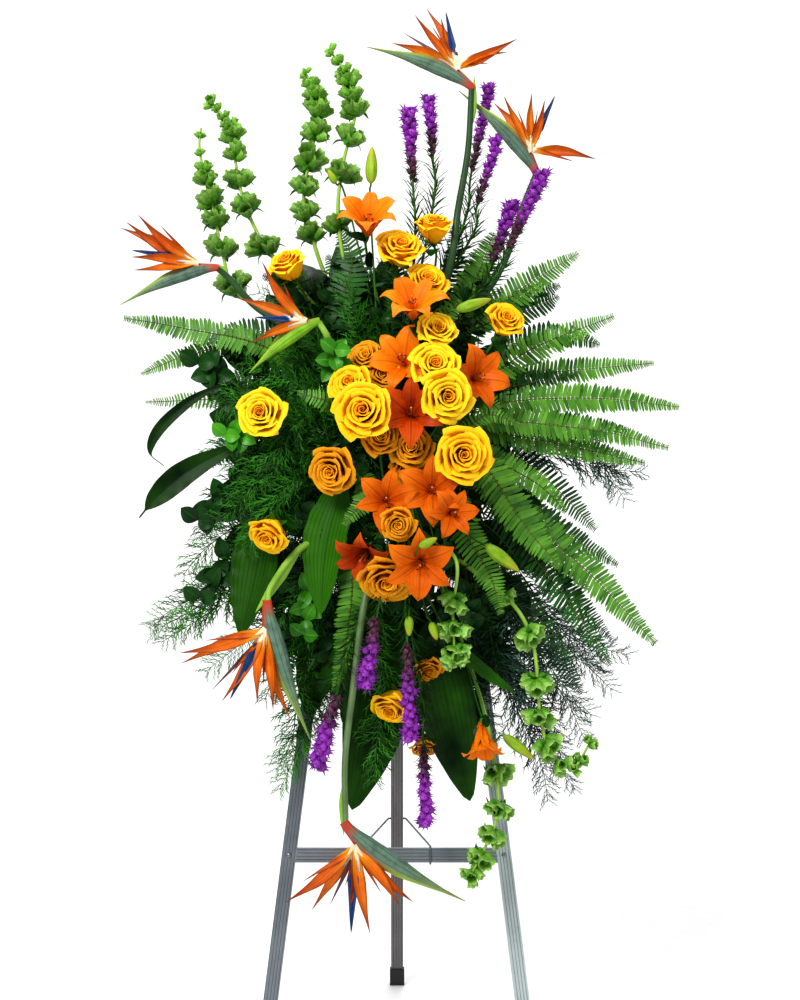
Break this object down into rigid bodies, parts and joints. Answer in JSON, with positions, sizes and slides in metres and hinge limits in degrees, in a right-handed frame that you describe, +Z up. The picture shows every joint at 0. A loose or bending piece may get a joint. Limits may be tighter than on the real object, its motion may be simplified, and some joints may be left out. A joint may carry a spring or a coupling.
{
  "type": "standing funeral spray on a folding easel",
  "caption": "Tall spray of roses, lilies, birds of paradise, blazing star, bells of Ireland and ferns in wet foam, strapped to a folding metal easel.",
  "frame": {"origin": "centre of the whole part's outline in plan, on the floor", "axes": "+Z up, +X to the viewer's right, the flowers face -Y"},
  "size_m": [0.9338, 0.6608, 1.7963],
  "materials": {
    "leg_profile": "satin extruded, fluted front",
    "rear_profile": "dark satin extruded",
    "hinge_steel": "plated steel",
    "stay_steel": "drawn wire",
    "foot_rubber": "matt",
    "holder_plastic": "moulded, matt",
    "wet_foam": "open pored, wet",
    "bloom_stem": "fresh green stems and buds",
    "bird_sheath": "waxy grey green, red along the top",
    "bird_flame": "orange sepals with a blue tongue",
    "blazing_star": "purple florets",
    "bell": "veined green cups",
    "rose": "golden yellow petals",
    "lily": "orange petals",
    "broad_leaf": "glossy, parallel veins",
    "sword_fern": "fresh green leaflets",
    "sprig_leaf": "glossy oval leaves",
    "asparagus_fern": "fine soft needles"
  },
  "bodies": {
    "stand": {"leg_left": "leg_profile", "leg_right": "leg_profile", "crossbar": "leg_profile", "hinge_bracket": "hinge_steel", "foot_left": "foot_rubber", "foot_right": "foot_rubber", "stay_wire": "stay_steel", "holder": "holder_plastic", "foam": "wet_foam", "asparagus_left": "asparagus_fern", "asparagus_right": "asparagus_fern", "bells_low": "bell", "bells_top": "bell", "bird_flames_five": "bird_flame", "bird_flames_four": "bird_flame", "bird_flames_one": "bird_flame", "bird_flames_six": "bird_flame", "bird_flames_three": "bird_flame", "bird_flames_two": "bird_flame", "bird_stems_left": "bird_sheath", "bird_stems_low": "bird_sheath", "bird_stems_top": "bird_sheath", "blazing_stars_low": "blazing_star", "blazing_stars_top": "blazing_star", "bloom_stems": "bloom_stem", "ferns_left": "sword_fern", "ferns_right_lower": "sword_fern", "ferns_right_upper": "sword_fern", "leafy_sprigs": "sprig_leaf", "leaves_left": "broad_leaf", "leaves_low": "broad_leaf", "lilies_06_07_08": "lily", "lily_01": "lily", "lily_02": "lily", "lily_03": "lily", "lily_04": "lily", "lily_05": "lily", "lily_09": "lily", "lily_10": "lily", "lily_11": "lily", "rose_01": "rose", "rose_02": "rose", "rose_03": "rose", "rose_04": "rose", "rose_06": "rose", "rose_07": "rose", "rose_12": "rose", "rose_13": "rose", "rose_18": "rose", "rose_19": "rose", "rose_20": "rose", "rose_21": "rose", "rose_22": "rose", "rose_23": "rose", "roses_05_08_09": "rose", "roses_10_11": "rose", "roses_14_24": "rose", "roses_15_16_17": "rose"},
    "rear_leg": {"leg_rear": "rear_profile", "foot_rear": "foot_rubber"}
  },
  "joints": [
    {"name": "rear_leg_hinge", "type": "hinge", "parent": "stand", "child": "rear_leg", "pos_m": [-0.0091, 0.02336, 1.31345], "axis": [1, 0, 0], "range_deg": [-20, 0]}
  ]
}
